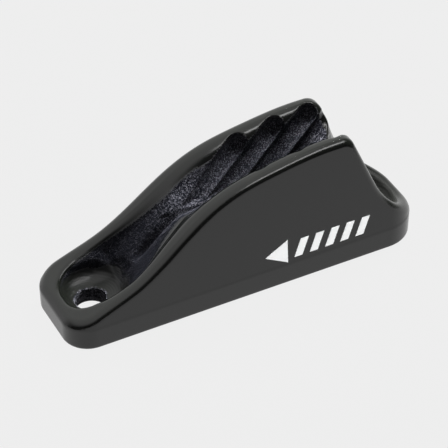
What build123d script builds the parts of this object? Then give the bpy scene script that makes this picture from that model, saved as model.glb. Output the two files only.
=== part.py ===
from build123d import *
import os
from math import radians, tan

# A small V-groove jam cleat for 3 to 6 mm rope, cast in one piece of aluminium.
# X runs from the low front end, where the loaded rope leaves, to the tall rear end.
# Y is across the cleat and Z is up. The origin is the middle of the underside.

# Overall casting
length = 66.0
width = 17.4
front_corner_radius = 4.65
rear_corner_radius = 6.35
skirt_height = 4.2
skirt_taper = 0.8
skirt_ledge = 0.06
bottom_edge_radius = 0.35
draft_angle = 4.15
top_edge_radius = 1.15

# Top outline, as seen from the side
crest_x = 16.0
crest_z = 25.1
crest_radius = 2.6
rear_face_foot_x = 23.9
rear_face_foot_z = 14.0
rear_face_angle = 66.5
rear_lug_z = 4.75

# Screw holes and the pockets that take the screw heads
hole_spacing = 52.0
hole_diameter = 5.3
hole_chamfer = 0.25
pocket_floor_z = 2.9
pocket_half_width = 5.25
pocket_corner_radius = 4.6
pocket_outer_end_x = 30.8
front_ramp_start_x = -22.4
front_ramp_end_x = -18.5
front_ramp_slope = 45.0
front_ramp_radius = 5.2
rear_pocket_start_x = 21.4

# Rope channel: a V between the walls, whose floor runs down the front ramp as a trough
vee_floor_z = 15.2
channel_half_width = 4.45
channel_ramp_widening = 0.55
rim_flare_width = 0.75
rim_flare_depth = 0.9
channel_clear_z = 29.0
channel_clear_spread = 0.5
trough_slope = 47.0
trough_start_x = -22.3
trough_fullness = 0.30

# Gripping flutes, cut in mirrored pairs on the two walls of the V. Each gap between them, counted
# from the tall end, is smaller than the one before it by flute_pitch_loss.
flute_count = 6
last_flute_x = 24.25
flute_pitch = 6.85
flute_pitch_loss = 0.55
flute_datum_z = 20.0
flute_slope = 1.55
flute_run_on = 5.0
flute_foot_y = 0.5
flute_foot_rise = 0.5
flute_radius = 1.9
flute_top_depth = 0.75
flute_foot_depth = 1.25
crest_curvature = 0.0098
crest_rounds = 12

# Printed mark on the side, an arrowhead and slanted bars that point along the load
print_thickness = 0.08
print_centre_z = 6.9
arrow_tip_x = 2.3
arrow_length = 4.2
arrow_height = 4.6
first_bar_x = 8.4
bar_count = 5
bar_pitch = 2.95
bar_width = 1.5
bar_height = 3.4
bar_lean = 1.3

# Points of the top outline up the front ramp, as (x, z)
ramp_points = [
    (-34.0, 4.5),
    (-27.0, 6.9),
    (-21.0, 9.5),
    (-15.0, 13.7),
    (-9.0, 18.5),
    (-3.0, 21.8),
    (5.0, 23.8),
    (crest_x, crest_z),
]

# Reach of the cutting shapes beyond the casting, and where its rim edges are looked for
clear_height = 40.0
outline_reach = 34.0
wedge_run = 10.0
rim_lowest_z = 3.5
rim_end_x = 32.0
hole_match = 0.01

# Worked out from the sizes above
hole_x = hole_spacing / 2
draft_inset = skirt_height * tan(radians(draft_angle))
trough_end_x = trough_start_x + (vee_floor_z - pocket_floor_z) / tan(radians(trough_slope))

os.makedirs("parts", exist_ok=True)


def footprint(z, grow):
    """The rounded outline of the casting at height z, larger all round by grow."""
    with BuildSketch(Plane.XY.offset(z)) as outline:
        Rectangle(length + 2 * grow, width + 2 * grow)
        fillet(outline.vertices().group_by(Axis.X)[0], front_corner_radius + grow)
        fillet(outline.vertices().group_by(Axis.X)[-1], rear_corner_radius + grow)
    return outline.sketch


# Cutter for the screw-head pockets and the short ramp behind the front one
with BuildPart() as pocket_cutter:
    with BuildSketch(Plane.XY.offset(pocket_floor_z)) as pocket_plan:
        with Locations(((front_ramp_end_x - pocket_outer_end_x) / 2, 0)):
            Rectangle(front_ramp_end_x + pocket_outer_end_x, 2 * pocket_half_width)
        fillet(pocket_plan.vertices().group_by(Axis.X)[0], pocket_corner_radius)
        fillet(pocket_plan.vertices().group_by(Axis.X)[-1], front_ramp_radius)
    extrude(amount=clear_height)
    wedge_rise = wedge_run * tan(radians(front_ramp_slope))
    with BuildSketch(Plane.XZ.offset(-width)):
        Polygon(
            (front_ramp_start_x, pocket_floor_z),
            (front_ramp_start_x + wedge_run, pocket_floor_z),
            (front_ramp_start_x + wedge_run, pocket_floor_z + wedge_rise),
            align=None,
        )
    extrude(amount=2 * width, mode=Mode.SUBTRACT)
    with BuildSketch(Plane.XY.offset(pocket_floor_z)) as rear_pocket_plan:
        with Locations(((rear_pocket_start_x + pocket_outer_end_x) / 2, 0)):
            Rectangle(pocket_outer_end_x - rear_pocket_start_x, 2 * pocket_half_width)
        fillet(rear_pocket_plan.vertices(), pocket_corner_radius)
    extrude(amount=clear_height)


def channel_floor(x):
    """Height of the bottom of the rope channel, never below the screw pocket's floor."""
    trough = pocket_floor_z + tan(radians(trough_slope)) * (x - trough_start_x)
    return max(pocket_floor_z, min(trough, vee_floor_z))


def channel_section(x, rim_z):
    """Half of the channel's cross-section at x, open upwards, fuller low on the ramp."""
    floor_z = channel_floor(x)
    lowness = (vee_floor_z - floor_z) / (vee_floor_z - pocket_floor_z)
    wall_y = channel_half_width + channel_ramp_widening * lowness
    wall_z = rim_z - rim_flare_depth
    fullness = trough_fullness * lowness
    knee_y = wall_y * (0.5 + fullness)
    knee_z = floor_z + (wall_z - floor_z) * (0.5 - fullness)
    with BuildSketch(Plane.YZ.offset(x)) as section:
        Polygon(
            (0, floor_z),
            (knee_y, knee_z),
            (wall_y, wall_z),
            (wall_y + rim_flare_width, rim_z),
            (wall_y + rim_flare_width + channel_clear_spread, channel_clear_z),
            (0, channel_clear_z),
            align=None,
        )
    return section.sketch


def flute_point(datum_x, y, z):
    """The point of a flute's line at height z."""
    return Vector(datum_x + flute_slope * (z - flute_datum_z), y, z)


def flute_top(datum_x):
    """The point where a flute's line runs out, at the foot of the rim's flare."""
    top_z = crest_z
    for _ in range(crest_rounds):
        short_of_crest = max(0, crest_x - flute_point(datum_x, 0, top_z).X)
        top_z = crest_z - rim_flare_depth - crest_curvature * short_of_crest**2
    return flute_point(datum_x, channel_half_width, top_z)


# Cutter for the rope channel and its flutes, made as its +Y half and then mirrored
with BuildPart() as channel_cutter:
    for x, rim_z in ramp_points[1:]:
        add(channel_section(x, rim_z))
    add(channel_section(length / 2, crest_z))
    loft(ruled=True)
    for turn in range(flute_count):
        datum_x = last_flute_x - turn * flute_pitch + flute_pitch_loss * turn * (turn - 1) / 2
        foot = flute_point(datum_x, flute_foot_y, vee_floor_z + flute_foot_rise)
        top = flute_top(datum_x)
        inward = (top - foot).cross(Vector(-1, 0, 0)).normalized()
        foot += inward * (flute_radius - flute_foot_depth)
        top += inward * (flute_radius - flute_top_depth)
        along = (top - foot).normalized()
        with BuildSketch(Plane(origin=foot - along * flute_run_on, z_dir=along)):
            Circle(flute_radius)
        extrude(amount=length / 2)
    split(bisect_by=Plane.XZ, keep=Keep.BOTTOM)
    with BuildSketch(Plane.XZ.offset(-width)):
        with BuildLine():
            Polyline(
                (-length, pocket_floor_z),
                (trough_start_x, pocket_floor_z),
                (trough_end_x, vee_floor_z),
                (length, vee_floor_z),
                (length, 0),
                (-length, 0),
                close=True,
            )
        make_face()
    extrude(amount=2 * width, mode=Mode.SUBTRACT)
    mirror(about=Plane.XZ)

with BuildPart() as cleat_body:
    add(footprint(0, draft_inset - skirt_ledge))
    extrude(amount=clear_height, taper=draft_angle)
    with BuildSketch(Plane.XZ.offset(-width)):
        with BuildLine():
            ramp = Spline(*ramp_points, tangents=[(1, 0.15), (1, 0)])
            drop = rear_face_foot_z - crest_z
            corner_x = rear_face_foot_x + drop / tan(radians(rear_face_angle))
            rear_foot = (rear_face_foot_x, rear_face_foot_z)
            crest = FilletPolyline(ramp @ 1, (corner_x, crest_z), rear_foot, radius=crest_radius)
            lug = TangentArc(crest @ 1, (outline_reach, rear_lug_z), tangent=crest % 1)
            Polyline(lug @ 1, (outline_reach, -skirt_height), (-outline_reach, -skirt_height), ramp @ 0)
        make_face()
    extrude(amount=2 * width, mode=Mode.INTERSECT)
    rim = cleat_body.edges().filter_by(lambda e: e.bounding_box().min.Z > rim_lowest_z)
    crosswise = rim.filter_by(Axis.Y).filter_by(lambda e: abs(e.center().X) < rim_end_x)
    fillet(rim - crosswise, top_edge_radius)
    split(bisect_by=Plane.XY.offset(skirt_height), keep=Keep.TOP)
    add(footprint(skirt_height, 0))
    extrude(amount=-skirt_height, taper=skirt_taper)
    fillet(cleat_body.faces().sort_by(Axis.Z)[0].edges(), bottom_edge_radius)
    add(channel_cutter.part, mode=Mode.SUBTRACT)
    add(pocket_cutter.part, mode=Mode.SUBTRACT)
    with Locations((-hole_x, 0, pocket_floor_z), (hole_x, 0, pocket_floor_z)):
        Hole(hole_diameter / 2)
    hole_edges = cleat_body.edges().filter_by(GeomType.CIRCLE)
    hole_edges = hole_edges.filter_by(lambda e: abs(e.radius - hole_diameter / 2) < hole_match)
    chamfer(hole_edges.group_by(Axis.Z)[-1], hole_chamfer)
cleat_body.part.label = "cleat_body"
export_step(cleat_body.part, "parts/cleat_body.step")

# Ink on the drafted side face: an arrowhead and slanted bars, pointing along the load
side_face_y = -(width / 2 - skirt_ledge) + (print_centre_z - skirt_height) * tan(radians(draft_angle))
side_plane = Plane(
    origin=(0, side_face_y, print_centre_z),
    x_dir=(1, 0, 0),
    z_dir=(0, -1, tan(radians(draft_angle))),
)

with BuildPart() as side_print:
    with BuildSketch(side_plane):
        with Locations((arrow_tip_x, 0)):
            Polygon(
                (0, 0),
                (arrow_length, -arrow_height / 2),
                (arrow_length, arrow_height / 2),
                align=None,
            )
        for turn in range(bar_count):
            with Locations((first_bar_x + turn * bar_pitch, 0)):
                Polygon(
                    (-bar_lean / 2, -bar_height / 2),
                    (bar_width - bar_lean / 2, -bar_height / 2),
                    (bar_width + bar_lean / 2, bar_height / 2),
                    (bar_lean / 2, bar_height / 2),
                    align=None,
                )
    extrude(amount=print_thickness)
side_print.part.label = "side_print"
export_step(side_print.part, "parts/side_print.step")
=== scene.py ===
import math

import bpy
import numpy as np
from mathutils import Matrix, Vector


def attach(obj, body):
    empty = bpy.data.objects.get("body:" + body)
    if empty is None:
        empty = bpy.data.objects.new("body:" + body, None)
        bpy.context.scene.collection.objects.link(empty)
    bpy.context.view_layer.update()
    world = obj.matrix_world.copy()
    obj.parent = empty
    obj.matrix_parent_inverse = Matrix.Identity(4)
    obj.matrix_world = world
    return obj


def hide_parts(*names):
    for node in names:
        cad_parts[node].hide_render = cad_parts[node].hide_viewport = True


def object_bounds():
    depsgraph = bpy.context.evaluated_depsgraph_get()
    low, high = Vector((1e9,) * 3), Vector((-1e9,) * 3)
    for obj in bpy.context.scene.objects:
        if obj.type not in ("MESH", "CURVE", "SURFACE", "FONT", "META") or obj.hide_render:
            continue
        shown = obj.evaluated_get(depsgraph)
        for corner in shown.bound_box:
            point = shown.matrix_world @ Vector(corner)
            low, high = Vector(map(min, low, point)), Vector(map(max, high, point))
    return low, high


# The looks of a cast and fluted V-groove jam cleat.
# The CAD body is replaced by a finer skin of the same size, worked out from the same dimensions,
# with the blends, run-outs and cast grain that the CAD body leaves out.

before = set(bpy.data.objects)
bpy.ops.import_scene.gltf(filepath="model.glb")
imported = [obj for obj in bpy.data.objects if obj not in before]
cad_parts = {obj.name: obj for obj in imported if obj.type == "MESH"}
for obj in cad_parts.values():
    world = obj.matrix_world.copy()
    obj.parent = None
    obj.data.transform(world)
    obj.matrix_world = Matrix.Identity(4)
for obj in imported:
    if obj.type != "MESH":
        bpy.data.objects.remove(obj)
cad_low, cad_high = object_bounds()

MM = 0.001

# ---------------------------------------------------------------- sizes, in millimetres
LENGTH = (cad_high.x - cad_low.x) / MM
WIDTH = (cad_high.y - cad_low.y) / MM
CREST_Z = cad_high.z / MM
FRONT_CORNER_RADIUS = 4.65
REAR_CORNER_RADIUS = 6.35
SKIRT_HEIGHT = 4.2
SKIRT_TAPER = math.radians(0.8)
SKIRT_LEDGE = 0.06
DRAFT = math.radians(4.15)
BOTTOM_EDGE_RADIUS = 0.35
OUTER_RIM_RADIUS = 1.15

# Top outline, as seen from the side: up the front ramp, over the crest, down to the rear lug
RAMP_POINTS = [
    (-34, 4.5),
    (-27, 6.9),
    (-21, 9.5),
    (-15, 13.7),
    (-9, 18.5),
    (-3, 21.8),
    (5, 23.8),
    (16, CREST_Z),
]
RAMP_START_SLOPE = 0.15
CREST_RADIUS = 2.6
REAR_FOOT = (23.9, 14.0)
REAR_FACE_ANGLE = math.radians(66.5)
LUG_END = (34.0, 4.75)
OUTLINE_REACH = 40

# Screw holes
HOLE_X = 26.0
HOLE_RADIUS = 2.65
HOLE_EDGE_RADIUS = 0.3
HOLE_RING_PITCH = 1.0
HOLE_RING_DEPTH = 0.06

# Screw-head pockets, and the short ramp behind the front one
POCKET_FLOOR_Z = 2.9
POCKET_HALF_WIDTH = 5.25
POCKET_CORNER_RADIUS = 4.6
POCKET_OUTER_X = 30.8
POCKET_FILLET = 2.8
POCKET_LIP_RADIUS = 0.8
POCKET_RUN_ON = 5
POCKET_RUN_ON_RADIUS = 0.5
FRONT_RAMP_START = -22.4
FRONT_RAMP_SLOPE = math.radians(45)
FRONT_RAMP_END = -18.0
FRONT_RAMP_BLEND = 1.8
FRONT_RAMP_POINT = 0.85
FRONT_RAMP_TIP = 2.5
FRONT_RAMP_ROUND = 3.4
REAR_POCKET_START = 21.4
REAR_POCKET_FLARE = 0.3
REAR_POCKET_FLARE_FOOT = 4.5
REAR_POCKET_FLARE_TOP = 7.5
REAR_LIP_RADIUS = 1.3

# Rope channel: its floor, its walls and the crease down its middle
VEE_FLOOR_Z = 15.2
TROUGH_START_X = -22.9
TROUGH_SLOPE = math.radians(47)
TROUGH_BLEND = 2.5
TROUGH_LOWEST_Z = 5.0
TROUGH_END_X = -27.0
TROUGH_END_RADIUS = 1.0
WALL_DROP = 0.9
WALL_Y_CREST = 4.35
WALL_Y_RAMP = 6.0
WALL_LEAN = 0.3
WALL_FOOT_RADIUS = 1.2
CREASE_RADIUS = 0.15
CREASE_DEPTH = 1.1
CREASE_WIDTH = 0.7
CREASE_START_RUN = 2.0

# Least and greatest slope of the V's flanks, the greatest changing up the ramp
LEAST_SLOPE = 0.3
SLOPE_LIMIT_X = (-20, -12, -6)
SLOPE_LIMIT = (0.32, 0.32, 3.0)

# Where the flanks are steep, the walls stand this much further apart
STEEP_SLOPES = (0.8, 1.5)
STEEP_WIDENING = (0.0, 0.2)

# Inner rim, sharper on the ramp, and the rounded rear mouth of the channel
RIM_CHANGE_X = (-14, -6)
INNER_RIM_RADII = (0.7, 1.25)
REAR_MOUTH_RADIUS = 3.2
REAR_MOUTH_X = (14, 18)
REAR_MOUTH_Z = (22.5, 19.5)

# Gripping flutes, one set on each wall
FLUTE_COUNT = 6
LAST_FLUTE_X = 24.25
FLUTE_PITCH = 6.85
FLUTE_PITCH_LOSS = 0.55
FLUTE_DATUM_Z = 20.0
FLUTE_SLOPE = 1.55
FLUTE_RADIUS = 1.75
FLUTE_TOP_DEPTH = 1.45
FLUTE_FOOT_DEPTH = 1.4
FLUTE_TOP_DROP = 1.4
FLUTE_FOOT_RISE = -0.2
LOWEST_FLUTE_DROP = 2.7
LOWEST_FLUTE_SHARE = 0.6
RIDGE_RADIUS = 0.3

# Fineness of the curves, the tables and the skin
RAMP_STEPS = 240
CREST_STEPS = 40
LUG_STEPS = 120
TABLE_REACH_X = 36
TABLE_Z = (-2, 28)
TABLE_STEP = 0.1
TABLE_EDGE = 1.001
ALONG_STEP = 0.05
SMOOTH_STEPS = 81
CELL = 0.27
CELLS_BEFORE = 1.5
CELLS_AFTER = 2.5
SETTLE_ROUNDS = 3
SETTLE_STEP = 0.02
SETTLE_LEAST_SLOPE = 0.25
SETTLE_MOST_CELLS = 0.5
TINY = 1e-9

# ---------------------------------------------------------------- finish of the casting, with its painted light, shade and highlight
# Depth below the outside at which the satin finish ends, along X, and its tilt on the ramp
SATIN_X = (-12, -2, 16, 21)
SATIN_DEPTH = (0.9, 1.4, 1.4, 2.0)
SATIN_TILT = 0.06
SATIN_FADE = 0.5
RAMP_TOP_X = -4

# The satin stops sooner round the ends of the flutes
FLUTE_SATIN_DEPTH = 0.35
FLUTE_SATIN_NEAR = (0.24, 0.09)
FLUTE_SATIN_X = (20.5, 19.0)

# Turned metal in the screw pockets, and how high it reaches up the front one
POCKET_FADE = 0.4
TURNED_TOP_Z = 4.6
TURNED_SPREAD = 0.12
TURNED_RISE = 0.55
TURNED_RISE_X = -22.6
TURNED_RISE_RUN = 4
CAST_LOWEST_Z = 1
CAST_FACE_SHARE = 0.5
RING_PITCH = 0.4

# Sparkle of the cast grain: dimmed as painted shade on the ramp and on its near side, brightest as
# painted light in the screw holes
RAMP_SHADE_X = (-15, -6)
RAMP_PAINTED_SHADE = (0.35, 1.0)
NEAR_SHADE_Y = (-2.5, -0.5)
NEAR_PAINTED_SHADE = (0.5, 1.0)
HOLE_PAINTED_LIGHT = 2.5
HOLE_CAST_SHARE = 0.9
HOLE_MARGIN = 0.15

# Painted highlight: a lighter edge where the trough meets the front pocket
EDGE_HIGHLIGHT_NEAR = (0.3, 0.1)
EDGE_HIGHLIGHT_Z = (5.4, 5.9)

# Colours, roughness and gloss
SATIN_DARK = (0.0005, 0.0006, 0.0005, 1)
SATIN_LIGHT = (0.0009, 0.0010, 0.0008, 1)
# Lighter colour in the rear screw pocket: painted light in its shaded recess
REAR_POCKET_PAINTED_LIGHT = (0.0065, 0.0067, 0.0062, 1)
CAST_DARK = (0.0016, 0.0017, 0.0024, 1)
CAST_SPARKLE = (0.047, 0.047, 0.054, 1)
# Lighter colour of the painted highlight on the front pocket's edge
EDGE_HIGHLIGHT_COLOUR = (0.05, 0.05, 0.055, 1)
INK_DARK = (0.90, 0.91, 0.91, 1)
INK_LIGHT = (0.97, 0.98, 0.98, 1)
FLOOR_COLOUR = (0.0003, 0.0003, 0.0003, 1)
FLOOR_GLOW_COLOUR = (1, 1, 1, 1)
FLOOR_GLOW = 0.845
SATIN_ROUGHNESS = (0.18, 0.23)
SATIN_NOISE = (0.3, 0.7)
TURNED_ROUGHNESS = 0.18
CAST_ROUGHNESS = 0.42
INK_ROUGHNESS = (0.5, 0.65)
SATIN_SPECULAR = 0.56
CAST_SPECULAR = 0.02
SPARKLE_RANGE = (0.58, 1.0)

# Texture scales, to the metre, and the relief in metres
BROAD_SCALE = 300.0
FINE_SCALE = 2600.0
INK_SCALE = 1800.0
CRYSTAL_SCALE = 7500.0
NOISE_DETAIL = 2.0
INK_DETAIL = 3.0
BUMP_STRENGTH = 0.7
BUMP_DISTANCE = 0.00012
FINE_RELIEF = 0.03
RING_RELIEF = 0.05

# ---------------------------------------------------------------- floor, light and camera
FLOOR_SIZE = 6.0
FLOOR_Z = -0.0002
NEAR_FLOOR_RADIUS = 0.085
NEAR_FLOOR_Z = -0.0001
BACKDROP_RADIUS = 2.9
BACKDROP_HEIGHT = 6.0
BACKDROP_Z = 2.9
CIRCLE_STEPS = 96

SKY_LEAN = -0.35
SKY_OVERHEAD = (0.6, 0.9)
SKY_BEHIND = (0.1, 0.6)
SKY_DARKEST = 0.06

AZIMUTH = math.radians(-27.5)
ELEVATION = math.radians(39.64)
DISTANCE = 0.37106
AIM_HEIGHT = 0.010
FOCAL_LENGTH = 177.79
SENSOR = 36.0
SHIFT_X = -0.01286
SHIFT_Y = -0.00989
CLIP_START = 0.01
CLIP_END = 20.0


# ---------------------------------------------------------------- shape as a signed distance
def rounded_max(a, b, radius):
    """Where two solids overlap, with the edge between their faces rounded."""
    corner = np.hypot(np.maximum(a + radius, 0), np.maximum(b + radius, 0))
    return np.minimum(np.maximum(a, b), -radius) + corner


def rounded_min(a, b, radius):
    """Two solids joined, with the corner between them filled."""
    return -rounded_max(-a, -b, radius)


def part_way(value, span):
    """How far a value lies from the first number of span to the second, between 0 and 1."""
    return np.clip((value - span[0]) / (span[1] - span[0]), 0, 1)


def unit(vector):
    return np.array(vector, float) / np.hypot(*vector)


def quarter_turn(vector):
    return np.array([-vector[1], vector[0]])


def spline_points(points, start_slope, end_slope, count):
    """A smooth curve through the points, with the direction given at its two ends."""
    p = np.array(points, float)
    t = np.r_[0, np.cumsum(np.hypot(*np.diff(p, axis=0).T))]
    h = np.diff(t)
    n = len(p)
    rows = np.zeros((n, n))
    right = np.zeros((n, 2))
    rows[0, 0] = rows[-1, -1] = 1
    right[0] = unit((1, start_slope))
    right[-1] = unit((1, end_slope))
    for i in range(1, n - 1):
        rows[i, i - 1:i + 2] = 1 / h[i - 1], 2 / h[i - 1] + 2 / h[i], 1 / h[i]
        right[i] = 3 * ((p[i] - p[i - 1]) / h[i - 1] ** 2 + (p[i + 1] - p[i]) / h[i] ** 2)
    m = np.linalg.solve(rows, right)
    out = []
    for at in np.linspace(0, t[-1], count):
        i = min(int(np.searchsorted(t, at, side="right")) - 1, n - 2)
        s = (at - t[i]) / h[i]
        out.append((2 * s ** 3 - 3 * s ** 2 + 1) * p[i] + (s ** 3 - 2 * s ** 2 + s) * h[i] * m[i]
                   + (3 * s ** 2 - 2 * s ** 3) * p[i + 1] + (s ** 3 - s ** 2) * h[i] * m[i + 1])
    return np.array(out)


def arc_points(start, direction, end, count):
    """The arc that leaves start in a direction and reaches end."""
    start, end = np.array(start, float), np.array(end, float)
    forward = unit(direction)
    side = quarter_turn(forward)
    chord = end - start
    radius = chord @ chord / (2 * chord @ side)
    centre = start + side * radius
    sweep = 2 * math.atan2(chord @ side, chord @ forward)
    arm = start - centre
    turns = np.linspace(0, sweep, count)
    return np.array([centre + arm * math.cos(a) + quarter_turn(arm) * math.sin(a) for a in turns])


ramp = spline_points(RAMP_POINTS, RAMP_START_SLOPE, 0, RAMP_STEPS)
rear_down = np.array([math.cos(REAR_FACE_ANGLE), -math.sin(REAR_FACE_ANGLE)])
corner_x = REAR_FOOT[0] + (REAR_FOOT[1] - CREST_Z) / math.tan(REAR_FACE_ANGLE)
tangent_run = CREST_RADIUS * math.tan(REAR_FACE_ANGLE / 2)
crest_start = np.array([corner_x - tangent_run, CREST_Z])
crest_end = np.array([corner_x, CREST_Z]) + rear_down * tangent_run
crest = arc_points(crest_start, (1, 0), crest_end, CREST_STEPS)
lug = arc_points(REAR_FOOT, rear_down, LUG_END, LUG_STEPS)
nose_z = ramp[0][1] - (OUTLINE_REACH + ramp[0][0]) * RAMP_START_SLOPE
outline = np.vstack([[(-OUTLINE_REACH, nose_z)], ramp, crest, lug, [(OUTLINE_REACH, LUG_END[1])]])


def rim_height(x):
    return np.interp(x, outline[:, 0], outline[:, 1])


table_x = np.arange(-TABLE_REACH_X, TABLE_REACH_X + TABLE_STEP, TABLE_STEP)
table_z = np.arange(TABLE_Z[0], TABLE_Z[1] + TABLE_STEP, TABLE_STEP)


def outline_table():
    """Signed distance from the top outline, on a grid over the side view."""
    gx, gz = np.meshgrid(table_x, table_z, indexing="ij")
    best = np.full(gx.shape, np.inf)
    for a, b in zip(outline[:-1], outline[1:]):
        ab = b - a
        t = np.clip(((gx - a[0]) * ab[0] + (gz - a[1]) * ab[1]) / (ab @ ab), 0, 1)
        best = np.minimum(best, (gx - a[0] - t * ab[0]) ** 2 + (gz - a[1] - t * ab[1]) ** 2)
    return np.sqrt(best) * np.where(gz > rim_height(gx), 1, -1)


top_table = outline_table()


def above_outline(x, z):
    """Signed distance from the top outline, read between the points of its table."""
    fx = np.clip((x - table_x[0]) / TABLE_STEP, 0, len(table_x) - TABLE_EDGE)
    fz = np.clip((z - table_z[0]) / TABLE_STEP, 0, len(table_z) - TABLE_EDGE)
    i, k = fx.astype(int), fz.astype(int)
    u, v = fx - i, fz - k
    low = top_table[i, k] * (1 - u) + top_table[i + 1, k] * u
    high = top_table[i, k + 1] * (1 - u) + top_table[i + 1, k + 1] * u
    return low * (1 - v) + high * v


def plan_distance(x, y, ends, half_width, front_radius, rear_radius):
    """Signed distance from a rectangle in plan whose two ends have their own corner radii."""
    middle = (ends[0] + ends[1]) / 2
    radius = np.where(x < middle, front_radius, rear_radius)
    qx = np.abs(x - middle) - (ends[1] - ends[0]) / 2 + radius
    qy = np.abs(y) - half_width + radius
    return np.hypot(np.maximum(qx, 0), np.maximum(qy, 0)) + np.minimum(np.maximum(qx, qy), 0) - radius


def casting(x, y, z):
    """The casting before anything is cut out of it."""
    ends = (-LENGTH / 2, LENGTH / 2)
    plan = plan_distance(x, y, ends, WIDTH / 2, FRONT_CORNER_RADIUS, REAR_CORNER_RADIUS)
    drafted = (plan + SKIRT_LEDGE + (z - SKIRT_HEIGHT) * math.tan(DRAFT)) * math.cos(DRAFT)
    skirt = plan + (SKIRT_HEIGHT - z) * math.tan(SKIRT_TAPER)
    wall = np.where(z > SKIRT_HEIGHT, drafted, skirt)
    body = rounded_max(wall, above_outline(x, z), OUTER_RIM_RADIUS)
    return rounded_max(body, -z, BOTTOM_EDGE_RADIUS)


# Values along the channel, worked out once
along_x = np.arange(-TABLE_REACH_X, TABLE_REACH_X, ALONG_STEP)
trough_rise = POCKET_FLOOR_Z + np.tan(TROUGH_SLOPE) * (along_x - TROUGH_START_X) - VEE_FLOOR_Z
floor_along = VEE_FLOOR_Z + rounded_min(trough_rise, np.zeros_like(along_x), TROUGH_BLEND)
floor_along = np.maximum(floor_along, TROUGH_LOWEST_Z)
rim_along = np.where(along_x < crest_start[0], rim_height(along_x), CREST_Z)
lowness_along = part_way(floor_along, (VEE_FLOOR_Z, POCKET_FLOOR_Z))
wall_y_along = WALL_Y_CREST + (WALL_Y_RAMP - WALL_Y_CREST) * lowness_along
wall_z_along = rim_along - WALL_DROP
slope_along = (wall_z_along - floor_along) / wall_y_along
slope_along = np.clip(slope_along, LEAST_SLOPE, np.interp(along_x, SLOPE_LIMIT_X, SLOPE_LIMIT))
smooth = np.hanning(SMOOTH_STEPS) / np.hanning(SMOOTH_STEPS).sum()
slope_along = np.convolve(np.pad(slope_along, SMOOTH_STEPS // 2, mode="edge"), smooth, mode="valid")
steep_along = np.interp(slope_along, STEEP_SLOPES, STEEP_WIDENING)
floor_change = np.gradient(floor_along, along_x)
slope_change = np.gradient(slope_along, along_x)


def at_x(x, values):
    """One of the values along the channel, at x."""
    return np.interp(x, along_x, values)


def vee(x, y, z):
    """The V of the rope channel, without its flutes."""
    across = np.hypot(y, CREASE_RADIUS) - CREASE_RADIUS
    slope = at_x(x, slope_along)
    crease_run = part_way(x, (FRONT_RAMP_END, FRONT_RAMP_END + CREASE_START_RUN))
    crease = CREASE_DEPTH * np.exp(-(y / CREASE_WIDTH) ** 2) * crease_run
    height = at_x(x, floor_along) + slope * across - crease
    run = at_x(x, floor_change) + at_x(x, slope_change) * across
    flank = (height - z) / np.sqrt(1 + slope ** 2 + run ** 2)
    lean = WALL_LEAN * (z - at_x(x, wall_z_along))
    side = np.abs(y) - at_x(x, wall_y_along) - lean - at_x(x, steep_along)
    return rounded_max(flank, side, WALL_FOOT_RADIUS)


def trough(x, y, z):
    """The rope channel with its low end, inside the front pocket."""
    return rounded_max(vee(x, y, z), TROUGH_END_X - x, TROUGH_END_RADIUS)


def flute_line_x(flute_x, z):
    return flute_x + FLUTE_SLOPE * (z - FLUTE_DATUM_Z)


def on_wall(flute_x, z):
    """The point at height z where a flute's line lies on the +Y wall of the V."""
    x = flute_line_x(flute_x, z)
    return np.array([x, (z - VEE_FLOOR_Z) / at_x(x, slope_along), z])


def flute_ends(flute_x, drop):
    """The ends of a flute's middle line: beside the crease, and a drop under the rim."""
    z = CREST_Z - drop
    while z > at_x(flute_line_x(flute_x, z), rim_along) - drop:
        z -= ALONG_STEP
    return on_wall(flute_x, VEE_FLOOR_Z + FLUTE_FOOT_RISE), on_wall(flute_x, z)


def flutes(x, y, z):
    """The flutes of both walls, as round-ended grooves, one after another."""
    floor = at_x(x, floor_along)
    side_y = np.abs(y)
    for turn in range(FLUTE_COUNT):
        flute_x = LAST_FLUTE_X - turn * FLUTE_PITCH + FLUTE_PITCH_LOSS * turn * (turn - 1) / 2
        lowest = turn == FLUTE_COUNT - 1
        foot, top = flute_ends(flute_x, LOWEST_FLUTE_DROP if lowest else FLUTE_TOP_DROP)
        inward = np.cross(top - foot, (-1.0, 0.0, 0.0))
        inward /= np.linalg.norm(inward)
        share = LOWEST_FLUTE_SHARE if lowest else 1.0
        foot = foot + inward * (FLUTE_RADIUS - FLUTE_FOOT_DEPTH * share)
        top = top + inward * (FLUTE_RADIUS - FLUTE_TOP_DEPTH * share)
        line = top - foot
        px, py, pz = x - foot[0], side_y - foot[1], z - foot[2]
        t = np.clip((px * line[0] + py * line[1] + pz * line[2]) / (line @ line), 0, 1)
        gap = np.sqrt((px - t * line[0]) ** 2 + (py - t * line[1]) ** 2 + (pz - t * line[2]) ** 2)
        yield np.maximum(gap - FLUTE_RADIUS, floor - z)


def front_pocket(x, y, z):
    """The front screw-head pocket, with the short ramp that ends in a rounded point."""
    ends = (-POCKET_OUTER_X, FRONT_RAMP_END + POCKET_RUN_ON)
    plan = plan_distance(x, y, ends, POCKET_HALF_WIDTH, POCKET_CORNER_RADIUS, POCKET_RUN_ON_RADIUS)
    point = x - FRONT_RAMP_END + FRONT_RAMP_POINT * (np.hypot(y, FRONT_RAMP_TIP) - FRONT_RAMP_TIP)
    plan = rounded_max(plan, point / math.hypot(1, FRONT_RAMP_POINT), FRONT_RAMP_ROUND)
    ramp_z = POCKET_FLOOR_Z + (x - FRONT_RAMP_START) * math.tan(FRONT_RAMP_SLOPE)
    short_ramp = (ramp_z - z) * math.cos(FRONT_RAMP_SLOPE)
    floor = rounded_max(POCKET_FLOOR_Z - z, short_ramp, FRONT_RAMP_BLEND)
    return rounded_max(plan, floor, POCKET_FILLET)


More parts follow.
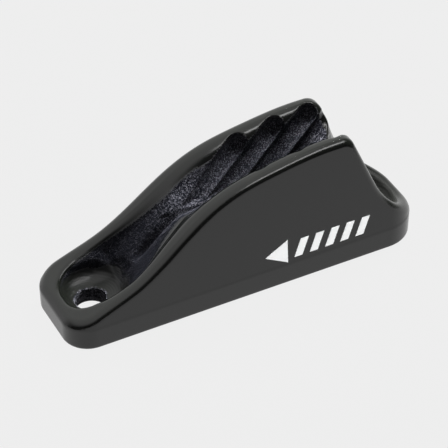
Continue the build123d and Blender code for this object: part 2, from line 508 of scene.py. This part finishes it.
def rear_pocket(x, y, z):
    """The rear screw-head pocket, whose walls flare a little towards the top."""
    ends = (REAR_POCKET_START, POCKET_OUTER_X)
    radius = POCKET_CORNER_RADIUS
    plan = plan_distance(x, y, ends, POCKET_HALF_WIDTH, radius, radius)
    flare = REAR_POCKET_FLARE * (np.minimum(z, REAR_POCKET_FLARE_TOP) - REAR_POCKET_FLARE_FOOT)
    return rounded_max(plan - flare, POCKET_FLOOR_Z - z, POCKET_FILLET)


def pockets(x, y, z):
    return np.minimum(front_pocket(x, y, z), rear_pocket(x, y, z))


def from_hole(x, y):
    """Distance in plan from the middle of the nearer screw hole."""
    return np.hypot(np.abs(x) - HOLE_X, y)


def surface(x, y, z):
    """Signed distance from the finished casting: negative inside the metal."""
    body = casting(x, y, z)
    mouth = part_way(z, REAR_MOUTH_Z) * part_way(x, REAR_MOUTH_X)
    inner_radius = np.interp(x, RIM_CHANGE_X, INNER_RIM_RADII)
    inner_radius = inner_radius + (REAR_MOUTH_RADIUS - INNER_RIM_RADII[1]) * mouth
    body = rounded_max(body, -trough(x, y, z), inner_radius)
    for flute in flutes(x, y, z):
        body = rounded_max(body, -flute, RIDGE_RADIUS)
    lip_radius = np.where(x > 0, REAR_LIP_RADIUS, POCKET_LIP_RADIUS)
    body = rounded_max(body, -pockets(x, y, z), lip_radius)
    rings = HOLE_RING_DEPTH * np.cos(math.tau * z / HOLE_RING_PITCH)
    hole = from_hole(x, y) - HOLE_RADIUS + rings
    return rounded_max(body, -hole, HOLE_EDGE_RADIUS)


# ---------------------------------------------------------------- the skin as a mesh
def grid_values(field, axes):
    """The field at every point of a grid, worked out slice by slice to save memory."""
    gx, gy, gz = np.meshgrid(*axes, indexing="ij")
    values = np.empty(gx.shape)
    for i in range(gx.shape[0]):
        values[i] = field(gx[i], gy[i], gz[i])
    return values


def cell_points(values, cells):
    """For each cell, the mean place at which its edges cross the surface, in cells."""
    sums = np.zeros((len(cells[0]), 3))
    hits = np.zeros(len(cells[0]))
    for start in np.ndindex(2, 2, 2):
        for axis in range(3):
            if start[axis]:
                continue
            end = list(start)
            end[axis] = 1
            va = values[tuple(c + s for c, s in zip(cells, start))]
            vb = values[tuple(c + e for c, e in zip(cells, end))]
            cut = (va < 0) != (vb < 0)
            point = np.tile(np.array(start, float), (len(cut), 1))
            point[:, axis] = np.where(cut, va / np.where(cut, va - vb, 1), 0)
            sums += point * cut[:, None]
            hits += cut
    return np.stack(cells, 1) + sums / hits[:, None]


def cell_quads(inside, number):
    """A quad round each grid edge that crosses the surface, joining its four cells' points."""
    quads = []
    for axis in range(3):
        b, c = (axis + 1) % 3, (axis + 2) % 3
        near = [slice(1, -1)] * 3
        far = [slice(1, -1)] * 3
        near[axis], far[axis] = slice(0, -1), slice(1, None)
        first, second = inside[tuple(near)], inside[tuple(far)]
        for outward, cut in ((True, first & ~second), (False, ~first & second)):
            at = list(np.nonzero(cut))
            at[b] = at[b] + 1
            at[c] = at[c] + 1
            ring = []
            for db, dc in ((0, 0), (-1, 0), (-1, -1), (0, -1)):
                cell_at = list(at)
                cell_at[b] = at[b] + db
                cell_at[c] = at[c] + dc
                ring.append(number[tuple(cell_at)])
            quad = np.stack(ring, 1)
            quads.append(quad if outward else quad[:, ::-1])
    return np.vstack(quads)


def skin(field, low, high, cell):
    """Points and quads of the surface where field is zero, one point to each cell it crosses."""
    axes = [np.arange(a - CELLS_BEFORE * cell, b + CELLS_AFTER * cell, cell) for a, b in zip(low, high)]
    values = grid_values(field, axes)
    inside = values < 0
    nx, ny, nz = [n - 1 for n in values.shape]
    corners = [inside[i:i + nx, j:j + ny, k:k + nz] for i, j, k in np.ndindex(2, 2, 2)]
    crossed = np.any(corners, axis=0) & ~np.all(corners, axis=0)
    number = np.full(crossed.shape, -1, np.int64)
    number[crossed] = np.arange(crossed.sum())
    first = np.array([axis[0] for axis in axes])
    points = first + cell_points(values, np.nonzero(crossed)) * cell
    return points, cell_quads(inside, number)


def settle(points, field, rounds):
    """Moves the points onto the surface itself."""
    for _ in range(rounds):
        value = field(*points.T)
        slopes = []
        for step in np.eye(3) * SETTLE_STEP:
            slopes.append((field(*(points + step).T) - field(*(points - step).T)) / (2 * SETTLE_STEP))
        slope = np.stack(slopes, 1)
        size = np.maximum((slope ** 2).sum(1), SETTLE_LEAST_SLOPE)
        move = -(value / size)[:, None] * slope
        far = np.linalg.norm(move, axis=1)[:, None]
        points = points + move * np.minimum(1, SETTLE_MOST_CELLS * CELL / np.maximum(far, TINY))
    return points


low = (-LENGTH / 2, -WIDTH / 2, 0)
high = (LENGTH / 2, WIDTH / 2, CREST_Z)
points, quads = skin(surface, low, high, CELL)
points = settle(points, surface, SETTLE_ROUNDS)

mesh = bpy.data.meshes.new("cleat_skin")
mesh.from_pydata((points * MM).tolist(), [], quads.tolist())
mesh.update()
mesh.polygons.foreach_set("use_smooth", [True] * len(mesh.polygons))


# ---------------------------------------------------------------- where each finish lies, and where light, shade and a highlight are painted
def put_attribute(name, values):
    layer = mesh.attributes.new(name, "FLOAT", "POINT")
    layer.data.foreach_set("value", np.asarray(values, np.float32))


x, y, z = points.T
flute_gap = np.min(np.abs(list(flutes(x, y, z))), axis=0)
pocket_gap = pockets(x, y, z)
on_ramp = x < RAMP_TOP_X
in_hole = from_hole(x, y) < HOLE_RADIUS + HOLE_MARGIN

satin_depth = np.interp(x, SATIN_X, SATIN_DEPTH) - SATIN_TILT * y * on_ramp
near_flute = part_way(flute_gap, FLUTE_SATIN_NEAR) * part_way(x, FLUTE_SATIN_X)
satin_depth = satin_depth + (FLUTE_SATIN_DEPTH - satin_depth) * near_flute
as_cast = np.clip((-casting(x, y, z) - satin_depth) / SATIN_FADE, 0, 1)

turned_rise = TURNED_RISE * np.clip(x - TURNED_RISE_X, 0, TURNED_RISE_RUN)
turned_top = TURNED_TOP_Z + TURNED_SPREAD * np.abs(y) + turned_rise
below_turned_top = np.clip((turned_top - z) / POCKET_FADE, 0, 1)
in_pocket = part_way(pocket_gap, (POCKET_FADE, 0)) * np.where(x > 0, 1, below_turned_top)

cast_share = as_cast * (1 - in_pocket) * (z > CAST_LOWEST_Z)
cast_share = np.where(in_hole, HOLE_CAST_SHARE, cast_share)
# Painted highlight: a lighter colour along the edge where the front pocket meets the trough
edge_highlight = part_way(np.abs(pocket_gap), EDGE_HIGHLIGHT_NEAR) * part_way(np.abs(trough(x, y, z)), EDGE_HIGHLIGHT_NEAR)
# Painted shade: the grain's sparkle is dimmed on the ramp and its near side; painted light: it is
# brightest in the screw holes
near_side_shade = np.where(on_ramp, np.interp(y, NEAR_SHADE_Y, NEAR_PAINTED_SHADE), 1)
sparkle_painted_shade_and_light = np.interp(x, RAMP_SHADE_X, RAMP_PAINTED_SHADE) * near_side_shade

put_attribute("cast_grain", cast_share)
put_attribute("pocket", in_pocket)
# Where the rear pocket gets its painted light
put_attribute("rear_pocket", in_pocket * (x > 0))
put_attribute("painted_edge_highlight", edge_highlight * (x < 0) * part_way(z, EDGE_HIGHLIGHT_Z))
put_attribute("sparkle_painted_shade_and_light", np.where(in_hole, HOLE_PAINTED_LIGHT, sparkle_painted_shade_and_light))

cleat = bpy.data.objects.new("cleat_body_skin", mesh)
bpy.context.scene.collection.objects.link(cleat)
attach(cleat, "root")
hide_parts("cleat_body")


# ---------------------------------------------------------------- materials
def new_material(name):
    material = bpy.data.materials.new(name)
    material.use_nodes = True
    tree = material.node_tree
    shader = next(n for n in tree.nodes if n.type == "BSDF_PRINCIPLED")
    return material, tree, shader.inputs


def feed(tree, socket, value):
    """Links another node's output to a socket, or gives the socket a fixed value."""
    if isinstance(value, bpy.types.NodeSocket):
        tree.links.new(value, socket)
    else:
        socket.default_value = value


def object_place(tree):
    return tree.nodes.new("ShaderNodeTexCoord").outputs["Object"]


def attribute(tree, name):
    node = tree.nodes.new("ShaderNodeAttribute")
    node.attribute_name = name
    return node.outputs["Fac"]


def noise(tree, place, scale, detail):
    node = tree.nodes.new("ShaderNodeTexNoise")
    node.inputs["Scale"].default_value = scale
    node.inputs["Detail"].default_value = detail
    tree.links.new(place, node.inputs["Vector"])
    return node.outputs["Fac"]


def remap(tree, source, to, at=(0.0, 1.0)):
    """Turns the range from at[0] to at[1] into the range from to[0] to to[1], and stops there."""
    node = tree.nodes.new("ShaderNodeMapRange")
    node.inputs["From Min"].default_value = at[0]
    node.inputs["From Max"].default_value = at[1]
    node.inputs["To Min"].default_value = to[0]
    node.inputs["To Max"].default_value = to[1]
    tree.links.new(source, node.inputs["Value"])
    return node.outputs["Result"]


def blend(tree, factor, a, b):
    """Goes from colour a to colour b as factor goes from 0 to 1."""
    node = tree.nodes.new("ShaderNodeMix")
    node.data_type = "RGBA"
    for slot_name, value in (("A", a), ("B", b)):
        feed(tree, next(s for s in node.inputs if s.name == slot_name and s.type == "RGBA"), value)
    tree.links.new(factor, node.inputs["Factor"])
    return next(s for s in node.outputs if s.type == "RGBA")


def maths(tree, operation, a, b):
    node = tree.nodes.new("ShaderNodeMath")
    node.operation = operation
    feed(tree, node.inputs[0], a)
    feed(tree, node.inputs[1], b)
    return node.outputs[0]


def turning_rings(tree, place):
    """Fine rings round each screw hole, as the cutter of the screw pocket leaves them."""
    split = tree.nodes.new("ShaderNodeSeparateXYZ")
    tree.links.new(place, split.inputs[0])
    along = maths(tree, "ABSOLUTE", split.outputs["X"], 0.0)
    along = maths(tree, "SUBTRACT", along, HOLE_X * MM)
    join = tree.nodes.new("ShaderNodeCombineXYZ")
    tree.links.new(along, join.inputs["X"])
    tree.links.new(split.outputs["Y"], join.inputs["Y"])
    radius = tree.nodes.new("ShaderNodeVectorMath")
    radius.operation = "LENGTH"
    tree.links.new(join.outputs[0], radius.inputs[0])
    turns = maths(tree, "MULTIPLY", radius.outputs["Value"], math.tau / (RING_PITCH * MM))
    return maths(tree, "SINE", turns, 0.0)


def casting_colour(tree, place, crystals, cast):
    """Near-black satin outside, sparkling grain where it is as cast, painted light in the rear pocket,
    and a painted highlight on the front pocket's edge.
    """
    satin = blend(tree, noise(tree, place, BROAD_SCALE, NOISE_DETAIL), SATIN_DARK, SATIN_LIGHT)
    # Painted light: the rear pocket's recess is given a lighter colour
    satin = blend(tree, attribute(tree, "rear_pocket"), satin, REAR_POCKET_PAINTED_LIGHT)
    sparkle = remap(tree, crystals.outputs["Color"], (0.0, 1.0), at=SPARKLE_RANGE)
    # The sparkle's strength carries painted shade on the ramp and painted light in the screw holes
    sparkle = maths(tree, "MULTIPLY", sparkle, attribute(tree, "sparkle_painted_shade_and_light"))
    colour = blend(tree, cast, satin, blend(tree, sparkle, CAST_DARK, CAST_SPARKLE))
    # Painted highlight along the front pocket's edge
    return blend(tree, attribute(tree, "painted_edge_highlight"), colour, EDGE_HIGHLIGHT_COLOUR)


def casting_roughness(tree, fine, cast, pocket):
    satin = remap(tree, fine, SATIN_ROUGHNESS, at=SATIN_NOISE)
    turned = maths(tree, "ADD", satin, maths(tree, "MULTIPLY", pocket, TURNED_ROUGHNESS))
    return maths(tree, "ADD", turned, maths(tree, "MULTIPLY", cast, CAST_ROUGHNESS))


def casting_relief(tree, place, fine, crystals, cast, pocket):
    """Bumps of the cast grain and of the satin, and the turned rings of the pockets."""
    rings = maths(tree, "MULTIPLY", turning_rings(tree, place), pocket)
    lumps = maths(tree, "ADD", crystals.outputs["Distance"], fine)
    heights = maths(tree, "MULTIPLY", cast, lumps)
    heights = maths(tree, "ADD", heights, maths(tree, "MULTIPLY", fine, FINE_RELIEF))
    heights = maths(tree, "ADD", heights, maths(tree, "MULTIPLY", rings, RING_RELIEF))
    bump = tree.nodes.new("ShaderNodeBump")
    bump.inputs["Strength"].default_value = BUMP_STRENGTH
    bump.inputs["Distance"].default_value = BUMP_DISTANCE
    tree.links.new(heights, bump.inputs["Height"])
    return bump.outputs["Normal"]


def casting_material(name, specular):
    material, tree, inputs = new_material(name)
    place = object_place(tree)
    fine = noise(tree, place, FINE_SCALE, NOISE_DETAIL)
    crystals = tree.nodes.new("ShaderNodeTexVoronoi")
    crystals.inputs["Scale"].default_value = CRYSTAL_SCALE
    tree.links.new(place, crystals.inputs["Vector"])
    cast = attribute(tree, "cast_grain")
    pocket = attribute(tree, "pocket")
    tree.links.new(casting_colour(tree, place, crystals, cast), inputs["Base Color"])
    tree.links.new(casting_roughness(tree, fine, cast, pocket), inputs["Roughness"])
    tree.links.new(casting_relief(tree, place, fine, crystals, cast, pocket), inputs["Normal"])
    inputs["Specular IOR Level"].default_value = specular
    return material


def ink_material():
    material, tree, inputs = new_material("white_pad_print")
    fine = noise(tree, object_place(tree), INK_SCALE, INK_DETAIL)
    tree.links.new(blend(tree, fine, INK_DARK, INK_LIGHT), inputs["Base Color"])
    tree.links.new(remap(tree, fine, INK_ROUGHNESS), inputs["Roughness"])
    return material


def floor_material():
    material, _, inputs = new_material("pale_floor")
    inputs["Base Color"].default_value = FLOOR_COLOUR
    inputs["Roughness"].default_value = 1.0
    inputs["Specular IOR Level"].default_value = 0.0
    inputs["Emission Color"].default_value = FLOOR_GLOW_COLOUR
    inputs["Emission Strength"].default_value = FLOOR_GLOW
    return material


mesh.materials.append(casting_material("satin_outside", SATIN_SPECULAR))
mesh.materials.append(casting_material("cast_groove", CAST_SPECULAR))
cast_faces = cast_share[quads].mean(1) > CAST_FACE_SHARE
mesh.polygons.foreach_set("material_index", cast_faces.astype(np.int32))
print_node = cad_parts["side_print"]
print_node.data.materials.clear()
print_node.data.materials.append(ink_material())

# ---------------------------------------------------------------- floor and backdrop
pale = floor_material()


def stage_piece(name):
    """Names the object just made and gives it the floor's material."""
    piece = bpy.context.object
    piece.name = name
    piece.data.materials.append(pale)
    return piece


bpy.ops.mesh.primitive_plane_add(size=FLOOR_SIZE, location=(0, 0, FLOOR_Z))
floor = stage_piece("floor")
floor.visible_glossy = False

bpy.ops.mesh.primitive_circle_add(
    vertices=CIRCLE_STEPS,
    radius=NEAR_FLOOR_RADIUS,
    fill_type="NGON",
    location=(0, 0, NEAR_FLOOR_Z),
)
stage_piece("near_floor")

bpy.ops.mesh.primitive_cylinder_add(
    vertices=CIRCLE_STEPS,
    radius=BACKDROP_RADIUS,
    depth=BACKDROP_HEIGHT,
    end_fill_type="NOTHING",
    location=(0, 0, BACKDROP_Z),
)
backdrop = stage_piece("backdrop")
backdrop.visible_glossy = False
backdrop.visible_diffuse = False

# ---------------------------------------------------------------- light
# A soft glow from overhead, leaning over the low end, and from behind
world = bpy.data.worlds.new("studio")
world.use_nodes = True
sky = world.node_tree
sky_way = sky.nodes.new("ShaderNodeSeparateXYZ")
sky.links.new(sky.nodes.new("ShaderNodeTexCoord").outputs["Generated"], sky_way.inputs[0])
leaning = maths(sky, "MULTIPLY", sky_way.outputs["X"], SKY_LEAN)
leaning = maths(sky, "ADD", leaning, sky_way.outputs["Z"])
overhead = remap(sky, leaning, (0.0, 1.0), at=SKY_OVERHEAD)
behind = remap(sky, sky_way.outputs["Y"], (0.0, 1.0), at=SKY_BEHIND)
glow = remap(sky, maths(sky, "MAXIMUM", overhead, behind), (SKY_DARKEST, 1.0))
sky.links.new(glow, sky.nodes["Background"].inputs["Color"])
sky.nodes["Background"].inputs["Strength"].default_value = 1.0
bpy.context.scene.world = world

centre = Vector((0, 0, CREST_Z * MM / 2))


def direction(azimuth, elevation):
    """The way from the object to a light or camera. Azimuth 0 is in front, 90 to the right."""
    level = math.cos(elevation)
    return Vector((math.sin(azimuth) * level, -math.cos(azimuth) * level, math.sin(elevation)))


def soft_light(name, azimuth, elevation, distance, width, height, power):
    """A rectangular light that faces the object."""
    light = bpy.data.lights.new(name, "AREA")
    light.shape = "RECTANGLE"
    light.size = width
    light.size_y = height
    light.energy = power
    lamp = bpy.data.objects.new(name, light)
    bpy.context.scene.collection.objects.link(lamp)
    away = direction(math.radians(azimuth), math.radians(elevation))
    lamp.location = centre + away * distance
    lamp.rotation_euler = away.to_track_quat("Z", "Y").to_euler()
    return lamp


front_strip = soft_light(
    "front_strip",
    azimuth=35,
    elevation=52,
    distance=0.6,
    width=0.5,
    height=0.11,
    power=1.3,
)
front_strip.visible_diffuse = False

front_fill = soft_light(
    "front_fill",
    azimuth=-10,
    elevation=15,
    distance=0.6,
    width=0.4,
    height=0.2,
    power=1.6,
)
front_fill.visible_glossy = False

key = soft_light(
    "key",
    azimuth=119,
    elevation=51,
    distance=0.6,
    width=0.3,
    height=0.3,
    power=120.0,
)
key.visible_glossy = False

# ---------------------------------------------------------------- camera
back = direction(AZIMUTH, ELEVATION)
lens = bpy.data.cameras.new("camera")
camera = bpy.data.objects.new("camera", lens)
bpy.context.scene.collection.objects.link(camera)
camera.location = Vector((0, 0, AIM_HEIGHT)) + back * DISTANCE
camera.rotation_euler = (-back).to_track_quat("-Z", "Y").to_euler()
lens.sensor_width = SENSOR
lens.lens = FOCAL_LENGTH
lens.shift_x = SHIFT_X
lens.shift_y = SHIFT_Y
lens.clip_start = CLIP_START
lens.clip_end = CLIP_END
bpy.context.scene.camera = camera
bpy.context.scene.view_settings.view_transform = "Standard"
